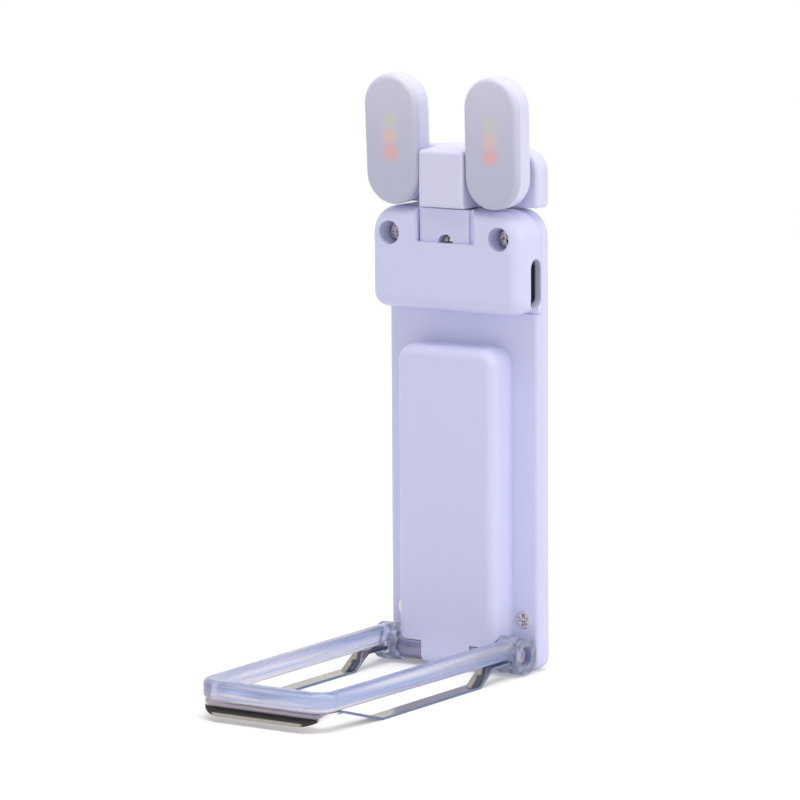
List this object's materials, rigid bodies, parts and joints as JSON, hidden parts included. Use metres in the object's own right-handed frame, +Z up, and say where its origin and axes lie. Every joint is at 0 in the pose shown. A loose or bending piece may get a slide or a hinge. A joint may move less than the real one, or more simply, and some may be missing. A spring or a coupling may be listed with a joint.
{
  "type": "clip-on book light",
  "caption": "Clip-on reading light: flat case with a folding spring clip below and a swivelling head with tilting lamps above.",
  "frame": {"origin": "bottom centre of the whole object's box, at the surface it stands on", "axes": "+Z up along the case, -Y forward along the opened clip, +X towards the side with the charging slot"},
  "size_m": [0.036, 0.0772, 0.1199],
  "materials": {
    "case": "satin white-lavender ABS",
    "button": "matte",
    "foil": "aluminium laminate pouch",
    "lead": "silicone insulation",
    "board": "glass-fibre board with solder mask",
    "chip": "moulded epoxy",
    "washer": "black acetal washer",
    "nickel": "nickel plated",
    "spring_steel": "polished spring steel",
    "clear": "clear polycarbonate",
    "diffuser": "satin translucent grey",
    "led": "phosphor covered chip"
  },
  "bodies": {
    "case": {"back_shell": "case", "front_panel": "case", "front_cover": "case", "battery": "foil", "battery_leads": "lead", "circuit_board": "board", "board_chips": "chip", "charging_socket": "nickel", "socket_tongue": "chip", "switch_body": "chip", "cover_screws": "nickel", "panel_screws": "nickel", "neck_block": "case", "neck_screw": "nickel", "swivel_washer": "washer", "hinge_pin": "nickel", "hinge_caps": "nickel", "hinge_sleeves": "nickel"},
    "button": {"power_button": "button", "switch_plunger": "chip"},
    "clip": {"clip_frame": "clear"},
    "spring_plate": {"spring_frame": "spring_steel"},
    "head": {"yoke": "case", "yoke_cover": "case", "yoke_screws": "nickel", "swivel_post": "nickel", "swivel_ring": "spring_steel"},
    "lamp_left": {"lamp_shell_left": "case", "lamp_diffuser_left": "diffuser", "led_board_left": "board", "leds_left": "led", "tilt_pin_left": "nickel", "tilt_washer_left": "nickel"},
    "lamp_right": {"lamp_shell_right": "case", "lamp_diffuser_right": "diffuser", "led_board_right": "board", "leds_right": "led", "tilt_pin_right": "nickel", "tilt_washer_right": "nickel"}
  },
  "joints": [
    {"name": "clip_fold", "type": "hinge", "parent": "case", "child": "clip", "pos_m": [0, 0.03025, 0.00395], "axis": [-1, 0, 0], "range_deg": [-90, 88]},
    {"name": "plate_open", "type": "hinge", "parent": "clip", "child": "spring_plate", "pos_m": [0, 0.02565, 0.00328], "axis": [1, 0, 0], "range_deg": [0, 8], "stiffness_Nm_per_rad": 0.8, "springref_deg": -2.01},
    {"name": "head_swivel", "type": "hinge", "parent": "case", "child": "head", "pos_m": [0, 0.0317, 0.09345], "axis": [0, 0, 1], "range_deg": [-90, 90]},
    {"name": "left_lamp_tilt", "type": "hinge", "parent": "head", "child": "lamp_left", "pos_m": [-0.008, 0.0294, 0.0999], "axis": [1, 0, 0], "range_deg": [-16, 17]},
    {"name": "right_lamp_tilt", "type": "hinge", "parent": "head", "child": "lamp_right", "pos_m": [0.008, 0.0294, 0.0999], "axis": [1, 0, 0], "range_deg": [-14.5, 18.5]},
    {"name": "button_press", "type": "slide", "parent": "case", "child": "button", "axis": [0, -1, 0], "range_m": [0, 0.0004], "stiffness_N_per_m": 1500, "springref_m": -0.0003}
  ]
}
